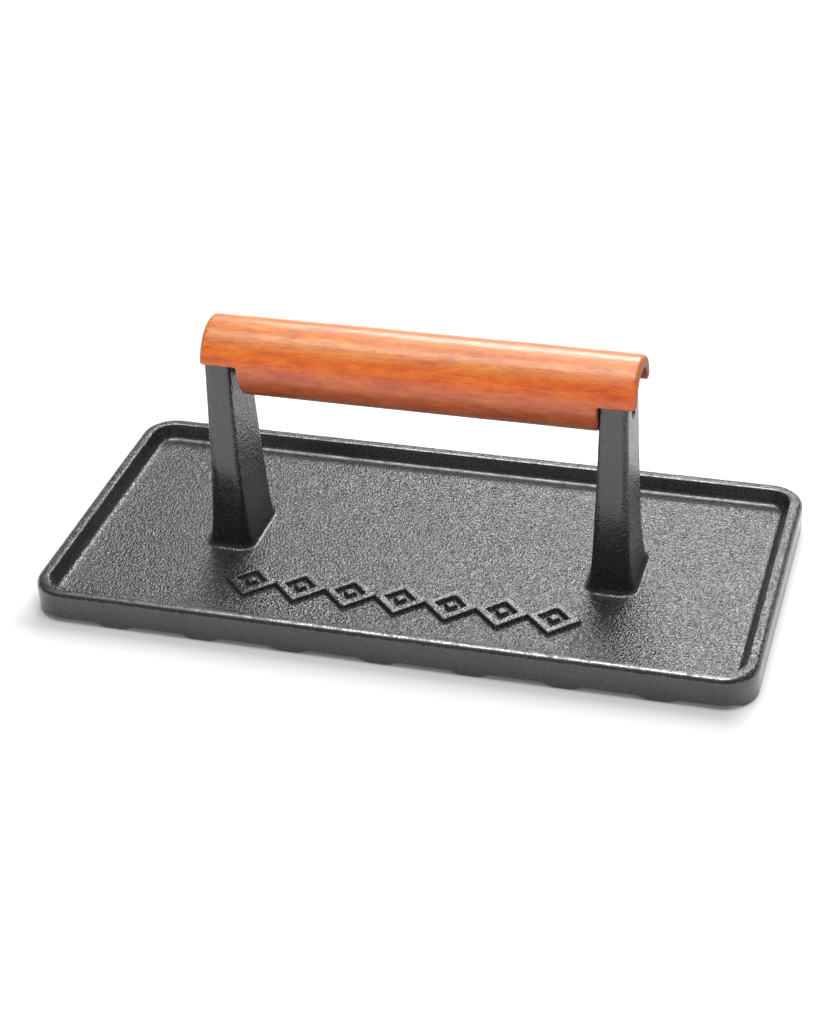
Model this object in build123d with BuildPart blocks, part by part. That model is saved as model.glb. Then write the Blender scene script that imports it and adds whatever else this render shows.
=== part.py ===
from build123d import *
import os

# Cast-iron bacon press with a turned wooden grip.
# Frame: origin at the middle of the resting plane, +X along the plate, +Y to the back, +Z up. Millimetres.

os.makedirs("parts", exist_ok=True)

# ---- plate ----
plate_length = 222.0
plate_width = 108.0
plate_corner_r = 10.8
rim_height = 10.5          # resting plane to the top of the rim
rim_edge_r = 2.2           # rounding of the rim's outer top edge
rim_width = 4.0            # outer side to the inner top edge of the rim
tray_depth = 4.9           # rim top to tray floor
tray_run = 1.9             # horizontal run of the drafted inner wall
tray_corner_r = 5.0        # corner radius of the tray floor
tray_foot_r = 0.9          # fillet where the wall meets the floor
floor_z = rim_height - tray_depth

# ---- ribs on the cooking face ----
rib_pitch = plate_length / 8
rib_crest = 5.0            # flat width that rests
rib_relief = 1.2           # depth of the hollows between ribs
rib_flank = 4.2            # horizontal run of each rib side

# ---- posts ----
post_x = 60.9              # middle of each post at its top
post_y = 0.75              # the posts and the grip stand a little behind the middle
post_root_z = 3.6          # the post section starts inside the plate
# height, inner face and outer face from the middle, half depth along Y, corner radii inside and outside
post_sections = [
    (floor_z, 52.5, 68.8, 13.4, 4.2, 4.2),
    (6.4, 53.05, 68.25, 13.1, 4.0, 4.2),
    (7.8, 53.6, 67.7, 12.9, 3.6, 4.1),
    (10.0, 54.1, 67.1, 12.7, 3.1, 3.9),
    (14.0, 54.6, 66.55, 12.4, 2.6, 3.6),
    (20.0, 54.95, 66.1, 12.0, 2.2, 3.3),
    (35.0, 55.7, 65.6, 11.2, 1.9, 3.0),
    (51.0, 56.25, 65.25, 10.3, 1.7, 2.8),
    (69.0, 56.8, 64.95, 9.35, 1.5, 2.6),
]
post_top_z = 69.0          # right post; the left one is a millimetre taller
left_rise = 1.0

# ---- grip ----
grip_z = 68.45             # axis of the grip
grip_r_mid = 11.95
grip_r_end = 11.85
grip_half = 66.4
grip_shift = 1.25          # the grip stands hard against the +X post
grip_edge_r = 1.2
notch_half = 55.1          # grip middle to each notch shoulder
shoulder_r = 1.3
socket_r = 7.9             # half-round socket over the post's tongue

# ---- tongue on top of each post ----
tongue_r = 7.4
tongue_w = (tongue_r**2 - (post_top_z - grip_z) ** 2) ** 0.5   # half width where it leaves the post
tongue_x = 60.9
tongue_half = 2.7

# ---- grip screws ----
screw_z = 63.0
screw_r = 1.4
screw_clear_r = 1.7
head_r = 2.2
head_h = 1.9
sink_r = 2.45
post_face_x = 65.05        # outer face at the screw
sink_depth = 2.7
screw_tip_depth = 24.0     # how far the screw reaches into the wood

# ---- raised border of lozenges in the tray ----
lozenge_count = 7
lozenge_pitch = 15.8
lozenge_half_w = 8.5       # the points of neighbours overlap
lozenge_half_h = 8.4
lozenge_hole = 0.56        # size of the opening against the outline
lozenge_stud = 0.24        # size of the stud inside it
lozenge_height = 1.3
border_y = -28.6


# ---------------------------------------------------------------- post of the casting
# one post, modelled on the +X side and mirrored for the other
def post_outline(z, x_in, x_out, hy, r_in, r_out):
    with BuildSketch(Plane.XY.offset(z)) as outline:
        with Locations(((x_in + x_out) / 2, post_y)):
            Rectangle(x_out - x_in, 2 * hy)
        fillet(outline.vertices().group_by(Axis.X)[0], r_in)
        fillet(outline.vertices().group_by(Axis.X)[-1], r_out)
    return outline.sketch


with BuildPart() as post:
    extrude(post_outline(post_root_z, *post_sections[0][1:]), amount=floor_z - post_root_z)
    loft([post_outline(*section) for section in post_sections], ruled=True)
    # half-round tongue that keys the grip
    with BuildSketch(Plane.YZ.offset(tongue_x - tongue_half)):
        with Locations((post_y, post_top_z)):
            Rectangle(2 * tongue_w, 4.0, align=(Align.CENTER, Align.MAX))
        with BuildLine():
            ThreePointArc(
                (post_y - tongue_w, post_top_z), (post_y, grip_z + tongue_r), (post_y + tongue_w, post_top_z)
            )
            Line((post_y + tongue_w, post_top_z), (post_y - tongue_w, post_top_z))
        make_face()
    extrude(amount=2 * tongue_half)
    # screw passage, with a sink for the head in the outer face
    with BuildSketch(Plane.YZ.offset(post_x - 10)):
        with Locations((post_y, screw_z)):
            Circle(screw_clear_r)
    extrude(amount=20, mode=Mode.SUBTRACT)
    with BuildSketch(Plane.YZ.offset(post_face_x - sink_depth)):
        with Locations((post_y, screw_z)):
            Circle(sink_r)
    extrude(amount=6, mode=Mode.SUBTRACT)

# ---------------------------------------------------------------- press plate
with BuildPart() as press_plate:
    with BuildSketch(Plane.XY):
        RectangleRounded(plate_length, plate_width, plate_corner_r)
    extrude(amount=rim_height)
    fillet(press_plate.faces().sort_by(Axis.Z)[-1].outer_wire().edges(), rim_edge_r)

    # drafted tray, cut upwards from its floor
    tray_l = plate_length - 2 * (rim_width + tray_run)
    tray_w = plate_width - 2 * (rim_width + tray_run)
    with BuildSketch(Plane.XY.offset(rim_height)):
        RectangleRounded(tray_l + 2 * tray_run, tray_w + 2 * tray_run, tray_corner_r + tray_run)
    with BuildSketch(Plane.XY.offset(floor_z)):
        RectangleRounded(tray_l, tray_w, tray_corner_r)
    loft(mode=Mode.SUBTRACT)
    floor_face = press_plate.faces().filter_by(
        lambda f: abs(f.center().Z - floor_z) < 1e-3 and abs(f.normal_at().Z) > 0.99
    )
    fillet(floor_face[0].outer_wire().edges(), tray_foot_r)

    # hollows between the ribs of the cooking face, run out through both long sides
    with BuildSketch(Plane.XZ) as hollows:
        for k in range(-4, 4):
            x0 = k * rib_pitch + rib_crest / 2
            x1 = (k + 1) * rib_pitch - rib_crest / 2
            with BuildLine():
                Polyline(
                    (x0, -1.0), (x0, 0.0), (x0 + rib_flank, rib_relief),
                    (x1 - rib_flank, rib_relief), (x1, 0.0), (x1, -1.0), close=True,
                )
            make_face()
        fillet(hollows.vertices().filter_by(lambda v: abs(v.Y - rib_relief) < 1e-3), 3.5)
    extrude(amount=plate_width, both=True, mode=Mode.SUBTRACT)

    # both posts are cast with the plate
    add(post.part)
    mirror(post.part, about=Plane.YZ)
    with BuildSketch(Plane.XY.offset(post_top_z - 0.4)) as left_pad:
        with Locations((-(post_sections[-1][1] + post_sections[-1][2]) / 2, post_y)):
            Rectangle(post_sections[-1][2] - post_sections[-1][1], 2 * post_sections[-1][3])
        fillet(left_pad.vertices().group_by(Axis.X)[0], post_sections[-1][5])
        fillet(left_pad.vertices().group_by(Axis.X)[-1], post_sections[-1][4])
    extrude(amount=0.4 + left_rise)

    # raised lozenge border in front of the grip
    with BuildSketch(Plane.XY.offset(floor_z - 0.6)):
        for size, mode in ((1.0, Mode.ADD), (lozenge_hole, Mode.SUBTRACT), (lozenge_stud, Mode.ADD)):
            w, h = lozenge_half_w * size, lozenge_half_h * size
            for i in range(lozenge_count):
                cx = (i - (lozenge_count - 1) / 2) * lozenge_pitch
                with BuildLine():
                    Polyline((cx - w, border_y), (cx, border_y - h), (cx + w, border_y), (cx, border_y + h), close=True)
                make_face(mode=mode)
    extrude(amount=0.6 + lozenge_height)
press_plate.part.label = "press_plate"

# ---------------------------------------------------------------- wooden grip
with BuildPart() as wooden_grip:
    with BuildSketch(Plane.XZ.offset(-post_y)) as profile:
        with BuildLine():
            ThreePointArc(
                (grip_shift - grip_half, grip_z + grip_r_end),
                (grip_shift, grip_z + grip_r_mid),
                (grip_shift + grip_half, grip_z + grip_r_end),
            )
            Polyline(
                (grip_shift + grip_half, grip_z + grip_r_end), (grip_shift + grip_half, grip_z),
                (grip_shift - grip_half, grip_z), (grip_shift - grip_half, grip_z + grip_r_end),
            )
        make_face()
        fillet(profile.vertices().filter_by(lambda v: v.Y > grip_z + 5), grip_edge_r)
    revolve(axis=Axis((0, post_y, grip_z), (1, 0, 0)))
    # notch under each end, resting flat on the post
    for side, seat_z in ((-1, post_top_z + left_rise), (1, post_top_z)):
        with BuildSketch(Plane.YZ.offset(grip_shift + side * notch_half)):
            with Locations((post_y, seat_z)):
                Rectangle(40, 30, align=(Align.CENTER, Align.MAX))
            with Locations((post_y, grip_z)):
                Circle(socket_r)
        extrude(amount=side * 20, mode=Mode.SUBTRACT)
    # rounded outer arris of each shoulder
    fillet(
        wooden_grip.edges().filter_by(
            lambda e: abs(abs(e.center().X - grip_shift) - notch_half) < 0.02 and e.center().Z < grip_z - 3
            and e.length > 20
        ),
        shoulder_r,
    )
    # blind screw holes in the end grain of the shoulders
    for side in (-1, 1):
        with BuildSketch(Plane.YZ.offset(grip_shift + side * (notch_half - 30))):
            with Locations((post_y, screw_z)):
                Circle(screw_r)
        extrude(amount=side * 40, mode=Mode.SUBTRACT)
wooden_grip.part.label = "wooden_grip"


# ---------------------------------------------------------------- grip screws
def screw_span(side):
    seat = post_face_x - sink_depth            # head's seat, measured from the middle
    tip = side * grip_shift + notch_half - screw_tip_depth
    return seat, tip


seat_r, tip_r = screw_span(1)
with BuildPart() as right_grip_screw:
    with BuildSketch(Plane.XZ.offset(-post_y)):
        with BuildLine():
            Polyline(
                (tip_r, screw_z), (tip_r + 3.0, screw_z + screw_r), (seat_r, screw_z + screw_r),
                (seat_r, screw_z + head_r), (seat_r + head_h - 0.5, screw_z + head_r),
                (seat_r + head_h, screw_z + head_r - 0.5), (seat_r + head_h, screw_z), close=True,
            )
        make_face()
    revolve(axis=Axis((0, post_y, screw_z), (1, 0, 0)))
    with BuildSketch(Plane.YZ.offset(seat_r + head_h)):
        with Locations((post_y, screw_z)):
            Rectangle(0.7, 2.8)
            Rectangle(2.8, 0.7)
    extrude(amount=-1.0, mode=Mode.SUBTRACT)
right_grip_screw.part.label = "right_grip_screw"

seat_l, tip_l = screw_span(-1)
with BuildPart() as left_grip_screw:
    with BuildSketch(Plane.XZ.offset(-post_y)):
        with BuildLine():
            Polyline(
                (-tip_l, screw_z), (-tip_l - 3.0, screw_z + screw_r), (-seat_l, screw_z + screw_r),
                (-seat_l, screw_z + head_r), (-seat_l - head_h + 0.5, screw_z + head_r),
                (-seat_l - head_h, screw_z + head_r - 0.5), (-seat_l - head_h, screw_z), close=True,
            )
        make_face()
    revolve(axis=Axis((0, post_y, screw_z), (1, 0, 0)))
    with BuildSketch(Plane.YZ.offset(-seat_l - head_h)):
        with Locations((post_y, screw_z)):
            Rectangle(0.7, 2.8)
            Rectangle(2.8, 0.7)
    extrude(amount=1.0, mode=Mode.SUBTRACT)
left_grip_screw.part.label = "left_grip_screw"

for piece in (press_plate, wooden_grip, right_grip_screw, left_grip_screw):
    solids = piece.part.solids()
    print(piece.part.label, "solids", len(solids), "volume", round(piece.part.volume, 1), "valid", piece.part.is_valid)
    export_step(piece.part, "parts/" + piece.part.label + ".step")
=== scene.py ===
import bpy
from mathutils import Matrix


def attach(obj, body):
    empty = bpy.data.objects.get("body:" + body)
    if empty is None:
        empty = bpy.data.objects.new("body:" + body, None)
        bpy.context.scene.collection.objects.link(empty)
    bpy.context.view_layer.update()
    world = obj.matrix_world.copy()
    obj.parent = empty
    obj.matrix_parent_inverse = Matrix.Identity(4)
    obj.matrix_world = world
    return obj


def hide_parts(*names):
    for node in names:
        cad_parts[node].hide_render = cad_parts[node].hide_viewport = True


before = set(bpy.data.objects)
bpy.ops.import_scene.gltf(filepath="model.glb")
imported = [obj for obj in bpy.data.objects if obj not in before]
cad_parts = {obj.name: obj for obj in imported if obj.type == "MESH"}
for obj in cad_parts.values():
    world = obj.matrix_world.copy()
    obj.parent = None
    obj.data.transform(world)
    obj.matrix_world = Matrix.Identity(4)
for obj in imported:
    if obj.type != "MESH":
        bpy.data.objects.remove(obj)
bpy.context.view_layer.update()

import math
import bpy
import bmesh
import numpy as np
from mathutils import Matrix, Vector

S = bpy.context.scene
MM = 0.001

# ------------------------------------------------------------------ helpers
def link(obj):
    S.collection.objects.link(obj)
    return obj


def mesh_object(name, verts, faces):
    me = bpy.data.meshes.new(name)
    me.from_pydata([tuple(v) for v in verts], [], [tuple(f) for f in faces])
    me.validate()
    me.update()
    return link(bpy.data.objects.new(name, me))


def coords(me):
    co = np.empty(len(me.vertices) * 3, np.float32)
    me.vertices.foreach_get("co", co)
    return co.reshape(-1, 3).astype(np.float64)


def set_coords(me, co):
    me.vertices.foreach_set("co", np.asarray(co, np.float32).ravel())
    me.update()


def normals(me):
    no = np.empty(len(me.vertices) * 3, np.float32)
    me.vertices.foreach_get("normal", no)
    return no.reshape(-1, 3).astype(np.float64)


def smooth_shade(obj):
    obj.data.polygons.foreach_set("use_smooth", [True] * len(obj.data.polygons))
    obj.data.update()


def apply_modifiers(obj):
    deps = bpy.context.evaluated_depsgraph_get()
    me = bpy.data.meshes.new_from_object(obj.evaluated_get(deps))
    obj.modifiers.clear()
    old = obj.data
    obj.data = me
    bpy.data.meshes.remove(old)


# value noise on a lattice, vectorised and repeatable
def lattice(shape, seed):
    return np.random.default_rng(seed).uniform(-1, 1, shape)


def value_noise(p, scale, seed):
    n = 64
    g = lattice((n, n, n), seed)
    q = p / scale
    i = np.floor(q).astype(int)
    f = q - i
    f = f * f * (3 - 2 * f)
    out = 0
    for dx in (0, 1):
        for dy in (0, 1):
            for dz in (0, 1):
                w = (f[:, 0] if dx else 1 - f[:, 0]) * (f[:, 1] if dy else 1 - f[:, 1]) * (f[:, 2] if dz else 1 - f[:, 2])
                out = out + w * g[(i[:, 0] + dx) % n, (i[:, 1] + dy) % n, (i[:, 2] + dz) % n]
    return out


def clone_node(node, name, voxel, smooth):
    """A fine, evenly meshed copy of a CAD node's closed solid."""
    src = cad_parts[node]
    obj = link(bpy.data.objects.new(name, src.data.copy()))
    obj.data.materials.clear()
    bm = bmesh.new()
    bm.from_mesh(obj.data)
    bmesh.ops.remove_doubles(bm, verts=bm.verts, dist=2e-6)
    bm.to_mesh(obj.data)
    bm.free()
    m = obj.modifiers.new("fine", "REMESH")
    m.mode = "VOXEL"
    m.voxel_size = voxel
    m.adaptivity = 0.0
    apply_modifiers(obj)
    if smooth:
        m = obj.modifiers.new("soft", "SMOOTH")
        m.factor = 0.5
        m.iterations = smooth
        apply_modifiers(obj)
    return obj


# ------------------------------------------------------------------ node helpers
class Mat:
    def __init__(self, name):
        self.m = bpy.data.materials.new(name)
        self.m.use_nodes = True
        self.t = self.m.node_tree
        self.t.nodes.clear()
        self.out = self.t.nodes.new("ShaderNodeOutputMaterial")
        self.b = self.t.nodes.new("ShaderNodeBsdfPrincipled")
        self.t.links.new(self.b.outputs[0], self.out.inputs["Surface"])
        self.pos = self.t.nodes.new("ShaderNodeTexCoord").outputs["Object"]

    def node(self, kind, **kw):
        n = self.t.nodes.new(kind)
        for k, v in kw.items():
            setattr(n, k, v)
        return n

    def link(self, a, b):
        self.t.links.new(a, b)

    def mapping(self, scale, rot=(0, 0, 0), loc=(0, 0, 0), src=None):
        n = self.node("ShaderNodeMapping")
        n.inputs["Scale"].default_value = scale
        n.inputs["Rotation"].default_value = rot
        n.inputs["Location"].default_value = loc
        self.link(src or self.pos, n.inputs["Vector"])
        return n.outputs["Vector"]

    def noise(self, vec, scale, detail=4, rough=0.55, distort=0.0):
        n = self.node("ShaderNodeTexNoise")
        n.inputs["Scale"].default_value = scale
        n.inputs["Detail"].default_value = detail
        n.inputs["Roughness"].default_value = rough
        n.inputs["Distortion"].default_value = distort
        self.link(vec, n.inputs["Vector"])
        return n.outputs["Fac"]

    def voronoi(self, vec, scale, feature="F1", rand=1.0):
        n = self.node("ShaderNodeTexVoronoi")
        n.feature = feature
        n.inputs["Scale"].default_value = scale
        n.inputs["Randomness"].default_value = rand
        self.link(vec, n.inputs["Vector"])
        return n.outputs["Distance"]

    def ramp(self, fac, stops, interp="LINEAR"):
        n = self.node("ShaderNodeValToRGB")
        n.color_ramp.interpolation = interp
        el = n.color_ramp.elements
        while len(el) < len(stops):
            el.new(0.5)
        for e, (p, c) in zip(el, stops):
            e.position = p
            e.color = (*c, 1) if len(c) == 3 else c
        self.link(fac, n.inputs["Fac"])
        return n.outputs["Color"]

    def mix(self, fac, a, b, mode="MIX"):
        n = self.node("ShaderNodeMix", data_type="RGBA", blend_type=mode)
        for s, v in ((n.inputs[0], fac), (n.inputs[6], a), (n.inputs[7], b)):
            if hasattr(v, "default_value") or hasattr(v, "links"):
                self.link(v, s)
            else:
                s.default_value = v
        return n.outputs[2]

    def math(self, op, a, b=0.0, c=0.0, clamp=False):
        n = self.node("ShaderNodeMath", operation=op, use_clamp=clamp)
        for s, v in zip(n.inputs, (a, b, c)):
            if hasattr(v, "links"):
                self.link(v, s)
            else:
                s.default_value = v
        return n.outputs[0]

    def rng(self, v, a, b, c, d):
        n = self.node("ShaderNodeMapRange")
        for s, x in zip(n.inputs, (v, a, b, c, d)):
            if hasattr(x, "links"):
                self.link(x, s)
            else:
                s.default_value = x
        return n.outputs[0]

    def bump(self, height, dist, strength=1.0, normal=None):
        n = self.node("ShaderNodeBump")
        n.inputs["Distance"].default_value = dist
        n.inputs["Strength"].default_value = strength
        self.link(height, n.inputs["Height"])
        if normal is not None:
            self.link(normal, n.inputs["Normal"])
        return n.outputs["Normal"]


# ------------------------------------------------------------------ materials
def cast_iron():
    """Black sand-cast iron under a glossy black coat: the mould's sand grain shows as close pits and grains."""
    m = Mat("cast_iron_black")
    o = m.mapping((1, 1, 1))
    fine = m.noise(o, 1230, 2, 0.60)
    grain = m.voronoi(o, 1500, rand=1.0)
    mid = m.noise(o, 420, 3, 0.55)
    broad = m.noise(o, 26, 4, 0.6)
    col = m.ramp(fine, [(0.28, (0.012, 0.012, 0.013)), (0.52, (0.021, 0.021, 0.022)), (0.76, (0.046, 0.047, 0.048))])
    tint = m.ramp(broad, [(0.3, (0.84, 0.86, 0.88)), (0.7, (1.14, 1.10, 1.10))])
    col = m.mix(1.0, col, tint, "MULTIPLY")
    # painted highlight: a lighter, metallic bare-iron colour on the front and back arrises where highlight lines
    # fall, partly edge wear
    wear_and_highlight = m.node("ShaderNodeAttribute", attribute_name="wear_and_highlight").outputs["Fac"]
    wear_and_highlight = m.math("MULTIPLY", wear_and_highlight, m.rng(mid, 0.36, 0.52, 0.25, 1.0), clamp=True)
    m.link(m.mix(wear_and_highlight, col, (0.30, 0.30, 0.305, 1)), m.b.inputs["Base Color"])
    m.link(wear_and_highlight, m.b.inputs["Metallic"])
    m.link(m.rng(mid, 0.3, 0.7, 0.13, 0.23), m.b.inputs["Roughness"])
    h = m.math("ADD", m.math("MULTIPLY", fine, 0.9), m.math("MULTIPLY", grain, 0.35))
    h = m.math("ADD", h, m.math("MULTIPLY", mid, 0.5))
    g = m.node("ShaderNodeAttribute", attribute_name="grain").outputs["Fac"]
    dull = m.math("MULTIPLY", m.rng(fine, 0.34, 0.66, 0.36, 0.0), m.math("MINIMUM", g, 1.0))
    m.link(m.math("SUBTRACT", 0.98, dull), m.b.inputs["Specular IOR Level"])
    m.link(m.bump(m.math("MULTIPLY", h, g), 0.00034, 1.0), m.b.inputs["Normal"])
    return m.m


def stained_wood():
    """Close-grained hardwood, orange-brown stain under a satin varnish; the grain runs along X."""
    m = Mat("stained_hardwood")
    warp = m.noise(m.mapping((1, 2.2, 2.2)), 34, 3, 0.5)
    mottle = m.noise(m.mapping((1, 3.6, 3.6), rot=(0.1, 0, 0.03)), 120, 4, 0.62, 0.3)
    streak = m.noise(m.mapping((1, 7, 7)), 210, 3, 0.6)
    dash = m.noise(m.mapping((1, 5.5, 5.5), loc=(3, 7, 1)), 360, 2, 0.5)
    fleck = m.voronoi(m.mapping((1, 4.2, 4.2)), 250)
    col = m.ramp(mottle, [(0.27, (0.58, 0.095, 0.008)), (0.50, (0.78, 0.147, 0.013)), (0.72, (0.89, 0.232, 0.028))])
    col = m.mix(0.55, col, m.ramp(streak, [(0.30, (0.70, 0.62, 0.58)), (0.50, (1, 1, 1)), (0.72, (1.12, 1.20, 1.25))]), "MULTIPLY")
    col = m.mix(0.60, col, m.ramp(dash, [(0.62, (1, 1, 1)), (0.72, (0.50, 0.38, 0.34))]), "MULTIPLY")
    col = m.mix(0.55, col, m.ramp(fleck, [(0.06, (0.42, 0.30, 0.28)), (0.15, (1, 1, 1))]), "MULTIPLY")
    col = m.mix(0.9, col, m.ramp(warp, [(0.3, (0.90, 0.82, 0.80)), (0.7, (1.05, 1.10, 1.08))]), "MULTIPLY")
    # painted shade: the colour turns darker and bluer towards the bottom of the grip, and yellower along the top
    # where the highlight falls
    z = m.node("ShaderNodeSeparateXYZ")
    m.link(m.pos, z.inputs[0])
    height_shade = m.ramp(m.rng(m.math("ADD", z.outputs[2], m.math("MULTIPLY", warp, 0.004)), 0.0600, 0.0800, 0.0, 1.0),
                 [(0.0, (0.45, 0.53, 1.80)), (0.33, (0.68, 0.66, 1.35)), (0.70, (1.06, 0.96, 1)), (0.84, (1.03, 1.0, 0.98)), (1.0, (0.86, 1.15, 0.80))])
    col = m.mix(1.0, col, height_shade, "MULTIPLY")
    # sawn faces: unvarnished end grain and the notches, given a dark colour that is partly the end grain's own and
    # partly painted shade inside the socket
    cut = m.node("ShaderNodeAttribute", attribute_name="cut").outputs["Fac"]
    end_grain_and_shade = m.ramp(m.noise(m.mapping((0.6, 1, 1)), 900, 4, 0.6), [(0.3, (0.20, 0.060, 0.034)), (0.55, (0.40, 0.135, 0.082)), (0.75, (0.52, 0.22, 0.15))])
    col = m.mix(cut, col, end_grain_and_shade)
    m.link(col, m.b.inputs["Base Color"])
    m.link(m.math("ADD", m.rng(streak, 0.3, 0.7, 0.50, 0.38), m.math("MULTIPLY", cut, 0.25)), m.b.inputs["Roughness"])
    m.link(m.rng(cut, 0.0, 1.0, 0.9, 0.05), m.b.inputs["Coat Weight"])
    m.b.inputs["Coat IOR"].default_value = 1.5
    m.link(m.rng(mottle, 0.3, 0.7, 0.34, 0.24), m.b.inputs["Coat Roughness"])
    m.b.inputs["Specular IOR Level"].default_value = 0.35
    h = m.math("ADD", m.math("MULTIPLY", streak, 0.6), m.math("MULTIPLY", m.math("MINIMUM", fleck, 0.2), 1.8))
    h = m.math("ADD", h, m.math("MULTIPLY", mottle, 0.5))
    nrm = m.bump(h, 0.00016, 0.75)
    m.link(nrm, m.b.inputs["Normal"])
    m.link(m.bump(h, 0.00016, 0.55), m.b.inputs["Coat Normal"])
    return m.m


def zinc_steel():
    m = Mat("zinc_steel")
    n = m.noise(m.mapping((1, 1, 1)), 700, 3, 0.5)
    m.link(m.ramp(n, [(0.3, (0.36, 0.36, 0.37)), (0.7, (0.58, 0.58, 0.57))]), m.b.inputs["Base Color"])
    m.b.inputs["Metallic"].default_value = 1.0
    m.link(m.rng(n, 0.3, 0.7, 0.28, 0.42), m.b.inputs["Roughness"])
    m.link(m.bump(n, 0.00004, 0.5), m.b.inputs["Normal"])
    return m.m


iron, wood, steel = cast_iron(), stained_wood(), zinc_steel()

# ------------------------------------------------------------------ casting
LENGTH, WIDTH, CORNER = 222.0, 108.0, 10.8
RIM_Z, FLOOR_Z = 10.5, 5.6
RIB_PITCH, RIB_CREST, RIB_FLANK, RIB_RELIEF = 27.75, 5.0, 4.2, 1.2
POST_Y, GRIP_Z = 0.75, 68.45


def outline_ring(inset):
    """Points of the plate's rounded outline, moved inwards, always the same number in the same order."""
    a, b = LENGTH / 2 - inset, WIDTH / 2 - inset
    r = max(CORNER - inset, 0.02)
    r = min(r, a, b)
    pts = []
    corners = ((a - r, -b + r, -90), (a - r, b - r, 0), (-a + r, b - r, 90), (-a + r, -b + r, 180))
    counts = (84, 190, 84, 190)
    for k, (cx, cy, start) in enumerate(corners):
        arc = [(cx + r * math.cos(math.radians(start + t)), cy + r * math.sin(math.radians(start + t)))
               for t in np.linspace(0, 90, 15)]
        pts += arc
        nx, ny, ns = corners[(k + 1) % 4]
        end = (nx + r * math.cos(math.radians(ns)), ny + r * math.sin(math.radians(ns)))
        for t in np.linspace(0, 1, counts[k] + 1)[1:-1]:
            pts.append((arc[-1][0] + (end[0] - arc[-1][0]) * t, arc[-1][1] + (end[1] - arc[-1][1]) * t))
    return np.array(pts)


def rounded_line(points, steps=9):
    """A polyline of (x, y, radius) with its corners rounded; also says which points lie on a rounding."""
    out = [(points[0][0], points[0][1], 0.0)]
    for (ax, ay, _), (bx, by, r), (cx, cy, _) in zip(points, points[1:], points[2:]):
        u, v = np.array([ax - bx, ay - by]), np.array([cx - bx, cy - by])
        u, v = u / np.linalg.norm(u), v / np.linalg.norm(v)
        half = math.acos(float(np.clip(u @ v, -1, 1))) / 2
        cut = r / math.tan(half)
        mid = (u + v) / np.linalg.norm(u + v) * r / math.sin(half) + (bx, by)
        p, q = np.array([bx, by]) + u * cut - mid, np.array([bx, by]) + v * cut - mid
        turn = math.acos(float(np.clip(p @ q / (r * r), -1, 1)))
        for t in np.linspace(0, 1, steps):
            w = (math.sin((1 - t) * turn) * p + math.sin(t * turn) * q) / math.sin(turn)
            out.append((mid[0] + w[0], mid[1] + w[1], 1.0))
    out.append((points[-1][0], points[-1][1], 0.0))
    return out


def hollow(x):
    """Height of the ribbed cooking face over the resting plane."""
    t = np.abs((x + RIB_PITCH / 2) % RIB_PITCH - RIB_PITCH / 2)
    s = np.clip((t - RIB_CREST / 2) / RIB_FLANK, 0, 1)
    return RIB_RELIEF * s * s * (3 - 2 * s)


def plate_shell():
    verts, faces, grain = [], [], []
    rows = []

    def row(inset, z, g):
        xy = outline_ring(inset)
        n = len(xy)
        zz = z(xy[:, 0]) if callable(z) else np.full(n, float(z))
        rows.append(range(len(verts), len(verts) + n))
        verts.extend(np.column_stack([xy, zz]).tolist())
        grain.extend([g] * n)

    inner = [d for d in np.arange(52.8, 1.2, -1.15)]
    for d in inner:
        row(d, lambda x: hollow(x), 0.6)
    for d, up in ((0.75, 0.0), (0.48, 0.04), (0.26, 0.15), (0.10, 0.34), (0.02, 0.60), (0.0, 0.90)):
        row(d, lambda x, up=up: hollow(x) + up, 0.3)
    for z in (2.9, 4.2, 5.6, 7.0):
        row(0.0, z, 0.14)
    section = rounded_line([(0.0, 7.4, 0), (0.0, RIM_Z, 2.0), (4.0, RIM_Z, 0.85), (5.9, FLOOR_Z, 1.9), (8.4, FLOOR_Z, 0)], 11)
    dense = section[:1]
    for (d0, z0, g0), (d1, z1, g1) in zip(section, section[1:]):
        if math.hypot(d1 - d0, z1 - z0) > 0.7:
            dense += [(d0 + (d1 - d0) * t, z0 + (z1 - z0) * t, 0.0) for t in (0.14, 0.5, 0.86)]
        dense.append((d1, z1, g1))
    for d, z, g in dense:
        row(d, z, 0.34 if g else 0.95 if 1.9 < d < 4.2 and z > 10 or d > 6.3 else 0.5 if d > 1 else 0.14)
    for d in np.arange(9.4, 52.9, 1.45):
        row(d, FLOOR_Z, 1.0)
    n = len(rows[0])
    for a, b in zip(rows, rows[1:]):
        for k in range(n):
            faces.append((a[k], a[(k + 1) % n], b[(k + 1) % n], b[k]))
    # close both faces with quads straight across; point k on one side faces point (112 - k) on the other
    for r, flip in ((rows[0], True), (rows[-1], False)):
        for k in range(56, 358):
            quad = []
            for q in (k, k + 1, (112 - k - 1) % n, (112 - k) % n):
                if r[q] not in quad:
                    quad.append(r[q])
            faces.append(tuple(reversed(quad)) if flip else tuple(quad))
    return verts, faces, grain


POST_TABLE = np.array([
    # height, inner face, outer face, half depth, inner radius, outer radius
    (5.0, 53.3, 68.0, 12.95, 4.2, 4.2),
    (5.6, 53.3, 68.0, 12.90, 4.2, 4.2),
    (6.4, 53.45, 67.85, 12.85, 4.0, 4.2),
    (7.8, 53.75, 67.55, 12.78, 3.6, 4.1),
    (10.0, 54.1, 67.1, 12.7, 3.1, 3.9),
    (14.0, 54.6, 66.55, 12.4, 2.6, 3.6),
    (20.0, 54.95, 66.1, 12.0, 2.2, 3.3),
    (35.0, 55.7, 65.6, 11.2, 1.9, 3.0),
    (51.0, 56.25, 65.25, 10.3, 1.7, 2.8),
    (71.0, 56.8, 64.95, 9.25, 1.5, 2.6),
])


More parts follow.
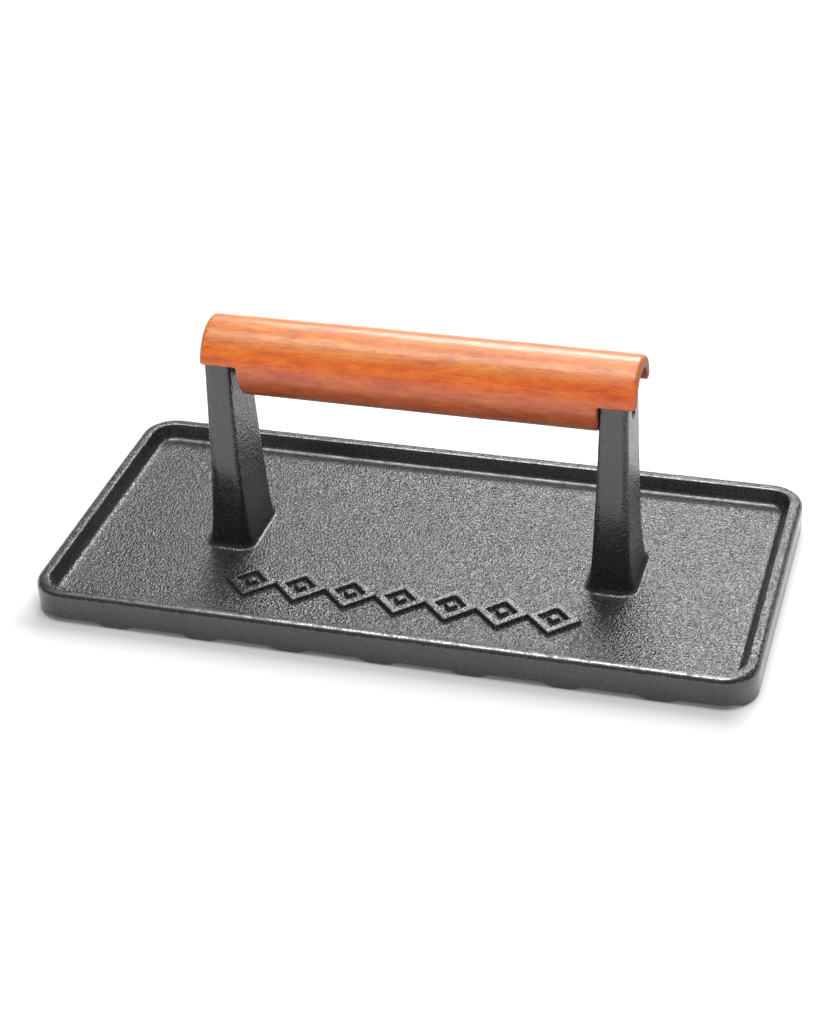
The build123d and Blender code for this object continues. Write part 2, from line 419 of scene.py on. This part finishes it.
def smooth_table(z):
    """Section at height z, eased between the table's rows by Catmull-Rom tangents."""
    t = POST_TABLE
    k = int(np.clip(np.searchsorted(t[:, 0], z) - 1, 0, len(t) - 2))
    z0, z1 = t[k, 0], t[k + 1, 0]
    u = (z - z0) / (z1 - z0)

    def slope(i):
        i0, i1 = max(i - 1, 0), min(i + 1, len(t) - 1)
        return (t[i1, 1:] - t[i0, 1:]) / (t[i1, 0] - t[i0, 0])

    h = z1 - z0
    return ((2 * u**3 - 3 * u**2 + 1) * t[k, 1:] + (u**3 - 2 * u**2 + u) * h * slope(k)
            + (-2 * u**3 + 3 * u**2) * t[k + 1, 1:] + (u**3 - u**2) * h * slope(k + 1))


def post_ring(z, grow):
    x_in, x_out, hy, r_in, r_out = smooth_table(z)
    x_in, x_out, hy = x_in - grow, x_out + grow, hy + grow
    r_in, r_out = r_in + max(grow, -1.0), r_out + max(grow, -1.0)
    pts = []
    corners = ((x_out - r_out, -hy + r_out, -90, r_out), (x_out - r_out, hy - r_out, 0, r_out),
               (x_in + r_in, hy - r_in, 90, r_in), (x_in + r_in, -hy + r_in, 180, r_in))
    counts = (16, 6, 16, 6)
    for k, (cx, cy, start, r) in enumerate(corners):
        arc = [(cx + r * math.cos(math.radians(start + t)), cy + r * math.sin(math.radians(start + t)))
               for t in np.linspace(0, 90, 10)]
        pts += arc
        nx, ny, ns, nr = corners[(k + 1) % 4]
        end = (nx + nr * math.cos(math.radians(ns)), ny + nr * math.sin(math.radians(ns)))
        for t in np.linspace(0, 1, counts[k] + 1)[1:-1]:
            pts.append((arc[-1][0] + (end[0] - arc[-1][0]) * t, arc[-1][1] + (end[1] - arc[-1][1]) * t))
    p = np.array(pts)
    p[:, 1] += POST_Y
    return p


def post_shell(side, top):
    """One post with its flared foot; side is 1 or -1."""
    foot_r = 1.1
    levels = [(5.0, foot_r), (5.58, foot_r)]
    for t in np.linspace(0, 90, 10)[1:]:
        up = foot_r * (1 - math.cos(math.radians(t)))
        levels.append((FLOOR_Z + up, foot_r * (1 - math.sin(math.radians(t)))))
    levels += [(z, 0.0) for z in (7.2, 7.8, 8.6, 9.6, 10.8, 12.2, 14.0)]
    levels += [(z, 0.0) for z in np.arange(15.6, top - 1.2, 1.6)]
    levels += [(top - 0.6, 0.0), (top - 0.3, -0.08), (top - 0.08, -0.3), (top, -0.6)]
    verts, faces, rows = [], [], []
    for z, grow in levels:
        p = post_ring(z, grow)
        rows.append(range(len(verts), len(verts) + len(p)))
        verts.extend(np.column_stack([p[:, 0] * side, p[:, 1], np.full(len(p), z)]).tolist())
    n = len(rows[0])
    for a, b in zip(rows, rows[1:]):
        for k in range(n):
            f = (a[k], a[(k + 1) % n], b[(k + 1) % n], b[k])
            faces.append(f if side > 0 else f[::-1])
    faces.append(tuple(reversed(rows[0])) if side > 0 else tuple(rows[0]))
    faces.append(tuple(rows[-1]) if side > 0 else tuple(reversed(rows[-1])))
    return verts, faces


def lathe_x(stations, y, z, steps=48):
    """A closed turned shell about a line along X; stations are (x, radius)."""
    verts, faces, rows = [], [], []
    for x, r in stations:
        rows.append(range(len(verts), len(verts) + steps))
        verts += [(x, y + r * math.cos(2 * math.pi * k / steps), z + r * math.sin(2 * math.pi * k / steps))
                  for k in range(steps)]
    for a, b in zip(rows, rows[1:]):
        for k in range(steps):
            faces.append((a[k], a[(k + 1) % steps], b[(k + 1) % steps], b[k]))
    faces.append(tuple(reversed(rows[0])))
    faces.append(tuple(rows[-1]))
    if stations[-1][0] < stations[0][0]:
        faces = [f[::-1] for f in faces]
    return verts, faces


def diamond_rings(cx, cy, half_w, half_h, levels, closed_top):
    """Walls and top of a raised diamond; levels are (perpendicular inset, height)."""
    rho = half_w * half_h / math.hypot(half_w, half_h)
    verts, faces, rows = [], [], []
    per = 12
    for inset, z in levels:
        k = max(1 - inset / rho, 0.02)
        w, h = half_w * k, half_h * k
        tips = ((w, 0), (0, h), (-w, 0), (0, -h))
        ring = []
        for (ax, ay), (bx, by) in zip(tips, tips[1:] + tips[:1]):
            for t in np.linspace(0.035, 0.965, per):
                ring.append((cx + ax + (bx - ax) * t, cy + ay + (by - ay) * t))
        rows.append(range(len(verts), len(verts) + len(ring)))
        verts += [(x, y, z) for x, y in ring]
    n = len(rows[0])
    for a, b in zip(rows, rows[1:]):
        for k in range(n):
            faces.append((a[k], a[(k + 1) % n], b[(k + 1) % n], b[k]))
    if closed_top:
        faces.append(tuple(rows[-1]))
    return verts, faces


def recalc(obj):
    bm = bmesh.new()
    bm.from_mesh(obj.data)
    bmesh.ops.recalc_face_normals(bm, faces=bm.faces)
    bm.to_mesh(obj.data)
    bm.free()


shells = []        # objects with their grain values
v, f, g = plate_shell()
o = mesh_object("plate_shell", np.array(v) * MM, f)
shells.append((o, np.array(g)))

for side, top in ((1, 69.0), (-1, 70.0)):
    v, f = post_shell(side, top)
    o = mesh_object("post_shell", np.array(v) * MM, f)
    v, f = lathe_x([(62.35 * side, 1.7), (62.35 * side, 2.45), (64.55 * side, 2.5), (64.95 * side, 2.75), (70 * side, 3.2)], POST_Y, 63.0)
    v[:48] = lathe_x([(62.35 * side, 0.02)], POST_Y, 63.0)[0]
    cutter = mesh_object("sink_cutter", np.array(v) * MM, f)
    recalc(o)
    recalc(cutter)
    m = o.modifiers.new("sink", "BOOLEAN")
    m.object = cutter
    m.operation = "DIFFERENCE"
    m.solver = "EXACT"
    apply_modifiers(o)
    bpy.data.objects.remove(cutter)
    shells.append((o, 0.55))
    x0, x1 = side * 58.2, side * 63.6
    e = 0.35 * side
    v, f = lathe_x([(x0, 7.0), (x0 + e, 7.4), (x1 - e, 7.4), (x1, 7.0)], POST_Y, GRIP_Z, 64)
    v = [(x, y, max(z, 68.0)) for x, y, z in v]
    shells.append((mesh_object("tongue_shell", np.array(v) * MM, f), 0.55))

band = 8.5 * 8.4 / math.hypot(8.5, 8.4) * (1 - 0.56)
top = FLOOR_Z + 1.3
for k in range(7):
    cx = (k - 3) * 15.8
    levels = [(-0.30, 5.4), (-0.16, 5.62), (-0.04, 5.9), (0.04, top - 0.42), (0.12, top - 0.16), (0.28, top - 0.03), (0.48, top),
              (band - 0.48, top), (band - 0.28, top - 0.03), (band - 0.12, top - 0.16), (band - 0.04, top - 0.42), (band + 0.04, 5.9), (band + 0.16, 5.62), (band + 0.3, 5.4)]
    v, f = diamond_rings(cx, -28.6, 8.5, 8.4, levels, False)
    shells.append((mesh_object("lozenge", np.array(v) * MM, f), 0.7))
    v, f = diamond_rings(cx, -28.6, 8.5 * 0.24, 8.4 * 0.24, levels[:7], True)
    shells.append((mesh_object("stud", np.array(v) * MM, f), 0.7))

bm = bmesh.new()
grain = []
for o, g in shells:
    grain.append(np.full(len(o.data.vertices), g) if np.isscalar(g) else g)
    bm.from_mesh(o.data)
plate_mesh = bpy.data.meshes.new("iron_casting")
bm.to_mesh(plate_mesh)
bm.free()
for o, g in shells:
    bpy.data.objects.remove(o)
plate = link(bpy.data.objects.new("iron_casting", plate_mesh))
grain = np.concatenate(grain).astype(np.float32)
co, no = coords(plate.data), normals(plate.data)
p = co * 1000
# the posts' broad front and back faces are dressed smooth, their narrow sides keep the sand grain
post = (p[:, 2] > 7.0) & (np.abs(p[:, 0]) > 50) & (np.abs(p[:, 0]) < 70) & (np.abs(p[:, 1]) < 14)
side_on = np.clip((np.abs(no[:, 0]) - 0.35) / 0.45, 0, 1)
grain = np.where(post, 0.12 + 1.5 * side_on * np.clip((p[:, 2] - 12) / 30, 0.2, 1), grain).astype(np.float32)
edge = (grain > 0.335) & (grain < 0.345) & (p[:, 2] > FLOOR_Z - 0.05) & ~post
# painted highlight: lighter bare-metal colour on front- and back-facing arrises, weaker low down and towards the left
# front, partly edge wear
wear_and_highlight = np.where(edge, np.clip(np.abs(no[:, 1]) * 3 - np.abs(no[:, 0]) * 3, 0, 1) * np.clip((no[:, 2] - 0.72) / 0.16, 0, 1), 0.0).astype(np.float32)
grain = np.where(edge & (np.abs(no[:, 0]) > 1.2 * np.abs(no[:, 1])), 0.85, grain).astype(np.float32)
wear_and_highlight = wear_and_highlight * np.where(p[:, 2] < 8.0, 0.62, 1.0) * np.where(p[:, 1] < -48, np.clip((p[:, 0] + 95) / 70, 0.3, 1), 1.0)
wear_and_highlight = wear_and_highlight.astype(np.float32)
att = plate.data.attributes.new("grain", "FLOAT", "POINT")
att.data.foreach_set("value", grain)
att = plate.data.attributes.new("wear_and_highlight", "FLOAT", "POINT")
att.data.foreach_set("value", wear_and_highlight)
d = 0.022 * value_noise(p, 2.6, 12) + 0.030 * value_noise(p, 6.5, 14) + 0.06 * value_noise(p, 19, 13)
keep = np.where(p[:, 2] < 0.3, 0.1, 1.0)
co = co + no * (d * keep)[:, None] * MM
co[:, 2] = np.maximum(co[:, 2], 0)
set_coords(plate.data, co)
smooth_shade(plate)
plate.data.set_sharp_from_angle(angle=math.radians(48))
plate.data.materials.append(iron)
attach(plate, "root")
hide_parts("press_plate")

# ------------------------------------------------------------------ grip
grip = clone_node("wooden_grip", "turned_grip", 0.00045, 2)
co, no = coords(grip.data), normals(grip.data)
p = co * 1000
d = 0.05 * value_noise(p * np.array([0.35, 1, 1]), 6.0, 21)
set_coords(grip.data, co + no * d[:, None] * MM)
rad = np.hypot(p[:, 1] - POST_Y, p[:, 2] - GRIP_Z)
# sawn faces and the socket inside the grip are marked for a darker colour: partly end grain, partly painted shade in
# the socket
cut = np.maximum(np.clip((11.35 - rad) / 0.5, 0, 1), np.clip((np.abs(p[:, 0] - 1.25) - 65.9) / 0.4, 0, 1))
att = grip.data.attributes.new("cut", "FLOAT", "POINT")
att.data.foreach_set("value", cut.astype(np.float32))
smooth_shade(grip)
grip.data.materials.append(wood)
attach(grip, "root")
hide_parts("wooden_grip")

# ------------------------------------------------------------------ screws
for n in ("right_grip_screw", "left_grip_screw"):
    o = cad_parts[n]
    o.data.materials.clear()
    o.data.materials.append(steel)

# ------------------------------------------------------------------ stage
me = bpy.data.meshes.new("floor")
bm = bmesh.new()
bmesh.ops.create_grid(bm, x_segments=1, y_segments=1, size=4.0)
bm.to_mesh(me)
bm.free()
floor = link(bpy.data.objects.new("floor", me))
fm = Mat("studio_floor")
fm.b.inputs["Base Color"].default_value = (0.60, 0.60, 0.60, 1)
fm.b.inputs["Roughness"].default_value = 0.9
fm.b.inputs["Emission Color"].default_value = (1, 1, 1, 1)
# painted light and shade: the floor glows faintly beside the press and more strongly farther out, so the glow draws
# the fade of the contact shadow and lifts the rest of the floor to white
axis = fm.node("ShaderNodeSeparateXYZ")
fm.link(fm.pos, axis.inputs[0])
past = fm.node("ShaderNodeCombineXYZ")
for k, (shift, half) in enumerate(((0.0055, 0.1085), (0.008, 0.049))):
    side = fm.math("SUBTRACT", fm.math("ABSOLUTE", fm.math("ADD", axis.outputs[k], shift)), half)
    fm.link(fm.math("MAXIMUM", side, 0.0), past.inputs[k])
far = fm.node("ShaderNodeVectorMath", operation="LENGTH")
fm.link(past.outputs[0], far.inputs[0])
near_glow = fm.rng(far.outputs["Value"], 0.0, 0.012, 0.09, 0.47)
wide_glow = fm.rng(far.outputs["Value"], 0.03, 0.6, 0.0, 0.4)
fm.link(fm.math("ADD", near_glow, wide_glow), fm.b.inputs["Emission Strength"])
fm.b.inputs["Specular IOR Level"].default_value = 0.0
floor.data.materials.append(fm.m)

w = bpy.data.worlds.new("studio")
S.world = w
w.use_nodes = True
wt = w.node_tree
wt.nodes.clear()
wo = wt.nodes.new("ShaderNodeOutputWorld")
bg = wt.nodes.new("ShaderNodeBackground")
bg.inputs["Color"].default_value = (1, 1, 1, 1)
bg.inputs["Strength"].default_value = 0.28
wt.links.new(bg.outputs[0], wo.inputs[0])


def area(name, loc, target, size, power, size_y=None):
    ld = bpy.data.lights.new(name, "AREA")
    ld.shape = "RECTANGLE"
    ld.size = size
    ld.size_y = size_y or size
    ld.energy = power
    o = link(bpy.data.objects.new(name, ld))
    o.location = loc
    o.rotation_euler = (Vector(target) - Vector(loc)).to_track_quat("-Z", "Y").to_euler()
    return o


def softbox(name, azimuth, elevation, distance, radiance, width, height):
    """A soft light seen from the object at azimuth (from +Y towards +X) and elevation."""
    a, e = math.radians(azimuth), math.radians(elevation)
    loc = (distance * math.sin(a) * math.cos(e), distance * math.cos(a) * math.cos(e), distance * math.sin(e))
    area(name, loc, (0, 0, 0.02), width, radiance * math.pi * width * height, height)


softbox("sheen", -2, 38, 1.7, 18, 1.0, 0.28)
softbox("top_back", 4, 62, 1.9, 2.5, 1.6, 1.0)
softbox("overhead", 172, 87, 1.6, 7.8, 1.3, 0.48)
softbox("front_fill", 200, 62, 1.9, 0.7, 1.4, 1.0)

# ------------------------------------------------------------------ camera
cam_data = bpy.data.cameras.new("camera")
cam_data.sensor_fit = "AUTO"
cam_data.sensor_width = 36.0
cam_data.lens = 81.114
cam_data.clip_start = 0.05
cam_data.clip_end = 50
cam = link(bpy.data.objects.new("camera", cam_data))
yaw, pitch, roll = math.radians(17.0341), math.radians(32.281), math.radians(-2.6353)
back = Vector((math.sin(yaw) * math.cos(pitch), -math.cos(yaw) * math.cos(pitch), math.sin(pitch)))
right = Vector((math.cos(yaw), math.sin(yaw), 0))
up = back.cross(right)
r2 = right * math.cos(roll) + up * math.sin(roll)
u2 = up * math.cos(roll) - right * math.sin(roll)
loc = Vector((0.17479, -0.57554, 0.39965))
cam.matrix_world = Matrix(((r2.x, u2.x, back.x, loc.x), (r2.y, u2.y, back.y, loc.y), (r2.z, u2.z, back.z, loc.z), (0, 0, 0, 1)))
S.camera = cam
S.view_settings.view_transform = "Standard"
S.view_settings.look = "None"
